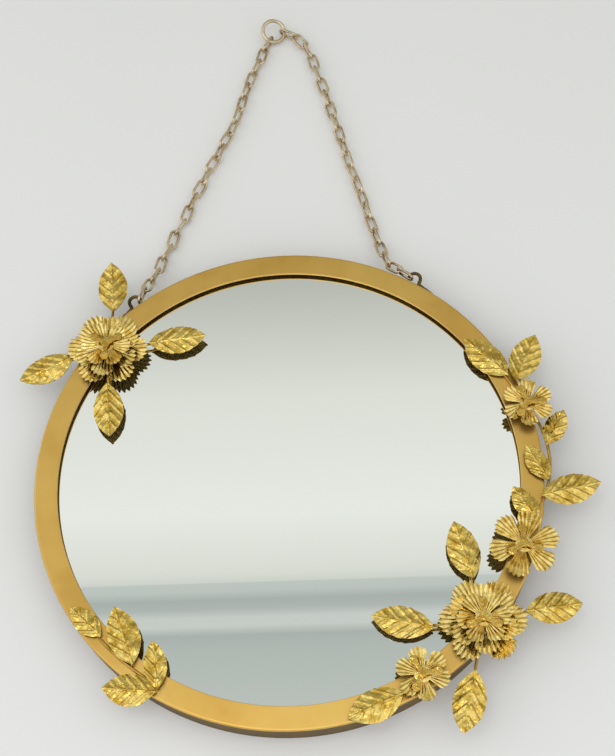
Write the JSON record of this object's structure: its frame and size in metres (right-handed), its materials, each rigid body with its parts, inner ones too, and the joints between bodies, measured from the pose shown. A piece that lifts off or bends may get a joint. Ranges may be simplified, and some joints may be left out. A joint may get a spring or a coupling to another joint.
{
  "type": "round wall mirror",
  "caption": "Round wall mirror in a flat gilt band frame, dressed with pleated metal flowers and leaves, hung from a link chain and ring.",
  "frame": {"origin": "centre of the frame on the plane of the rim's back edge", "axes": "+Z out of the mirror's face, +Y from the centre towards the hanging ring"},
  "size_m": [0.3941, 0.5952, 0.0373],
  "materials": {
    "gilt_band": "satin gilt",
    "rim_metal": "dull bronze-gold paint",
    "mirror": "silvered glass",
    "board": "hardboard",
    "packing": "black packing strip",
    "clip_steel": "plain steel strip",
    "hook_metal": "darkened brass wire",
    "chain_brass": "pale brass plate",
    "ring_brass": "pale brass plate",
    "gilt_leaf": "bright gold leaf over stamped sheet",
    "gilt_petal": "bright gold leaf over pleated sheet",
    "gilt_wire": "gilt wire"
  },
  "bodies": {
    "mirror": {"backing_board": "board", "backing_clips": "clip_steel", "bottom_flower_petals": "gilt_petal", "bottom_flower_stamen": "gilt_petal", "bottom_leaf": "gilt_leaf", "flower_posts": "gilt_wire", "frame_band": "gilt_band", "frame_rim": "rim_metal", "left_hanger_hook": "hook_metal", "lower_left_leaf_1": "gilt_leaf", "lower_left_leaf_2": "gilt_leaf", "lower_left_leaf_3": "gilt_leaf", "lower_left_leaf_4": "gilt_leaf", "lower_right_flower_back_petals": "gilt_petal", "lower_right_flower_front_petals": "gilt_petal", "lower_right_flower_middle_petals": "gilt_petal", "lower_right_flower_stamen": "gilt_petal", "lower_right_leaf_bottom": "gilt_leaf", "lower_right_leaf_left": "gilt_leaf", "lower_right_leaf_right": "gilt_leaf", "lower_right_leaf_top": "gilt_leaf", "lower_right_stems": "gilt_wire", "mirror_glass": "mirror", "packing_ring": "packing", "pair_leaf_inner": "gilt_leaf", "pair_leaf_outer": "gilt_leaf", "right_flower_petals": "gilt_petal", "right_flower_stamen": "gilt_petal", "right_hanger_hook": "hook_metal", "short_stems": "gilt_wire", "upper_left_flower_back_petals": "gilt_petal", "upper_left_flower_front_petals": "gilt_petal", "upper_left_flower_middle_petals": "gilt_petal", "upper_left_flower_stamen": "gilt_petal", "upper_left_leaf_bottom": "gilt_leaf", "upper_left_leaf_left": "gilt_leaf", "upper_left_leaf_right": "gilt_leaf", "upper_left_leaf_top": "gilt_leaf", "upper_left_stems": "gilt_wire", "upper_right_flower_petals": "gilt_petal", "upper_right_flower_stamen": "gilt_petal", "vine_leaf_inner": "gilt_leaf", "vine_leaf_lower": "gilt_leaf", "vine_leaf_outer": "gilt_leaf", "vine_leaf_upper": "gilt_leaf", "vine_stem": "gilt_wire"},
    "chain_level_1": {"left_chain_1": "chain_brass", "right_chain_1": "chain_brass"},
    "chain_level_2": {"left_chain_2": "chain_brass", "right_chain_2": "chain_brass"},
    "chain_level_3": {"left_chain_3": "chain_brass", "right_chain_3": "chain_brass"},
    "chain_level_4": {"left_chain_4": "chain_brass", "right_chain_4": "chain_brass"},
    "chain_level_5": {"left_chain_5": "chain_brass", "right_chain_5": "chain_brass"},
    "chain_level_6": {"left_chain_6": "chain_brass", "right_chain_6": "chain_brass"},
    "ring": {"hanging_ring": "ring_brass"}
  },
  "joints": [
    {"name": "chain_lift", "type": "hinge", "parent": "mirror", "child": "chain_level_1", "pos_m": [0.00231, 0.14946, 0.021], "axis": [0.9999, -0.0163, 0], "range_deg": [0, 65]},
    {"name": "chain_fold_2", "type": "hinge", "parent": "chain_level_1", "child": "chain_level_2", "pos_m": [0.00104, 0.17876, 0.00764], "axis": [0.9995, -0.0308, 0], "range_deg": [-25, 25]},
    {"name": "chain_fold_3", "type": "hinge", "parent": "chain_level_2", "child": "chain_level_3", "pos_m": [0.00696, 0.22505, 0.0044], "axis": [1, -0.0063, 0], "range_deg": [-25, 25]},
    {"name": "chain_fold_4", "type": "hinge", "parent": "chain_level_3", "child": "chain_level_4", "pos_m": [0.01277, 0.27173, 0.0044], "axis": [0.9996, 0.0283, 0], "range_deg": [-25, 25]},
    {"name": "chain_fold_5", "type": "hinge", "parent": "chain_level_4", "child": "chain_level_5", "pos_m": [0.02032, 0.31778, 0.0044], "axis": [0.9935, 0.1135, 0], "range_deg": [-25, 25]},
    {"name": "chain_fold_6", "type": "hinge", "parent": "chain_level_5", "child": "chain_level_6", "pos_m": [0.02425, 0.36523, 0.0044], "axis": [0.9752, 0.2215, 0], "range_deg": [-25, 25]},
    {"name": "ring_tilt", "type": "hinge", "parent": "chain_level_6", "child": "ring", "pos_m": [0.02242, 0.39424, 0.0044], "axis": [0.8572, 0.515, 0], "range_deg": [-40, 12]}
  ]
}
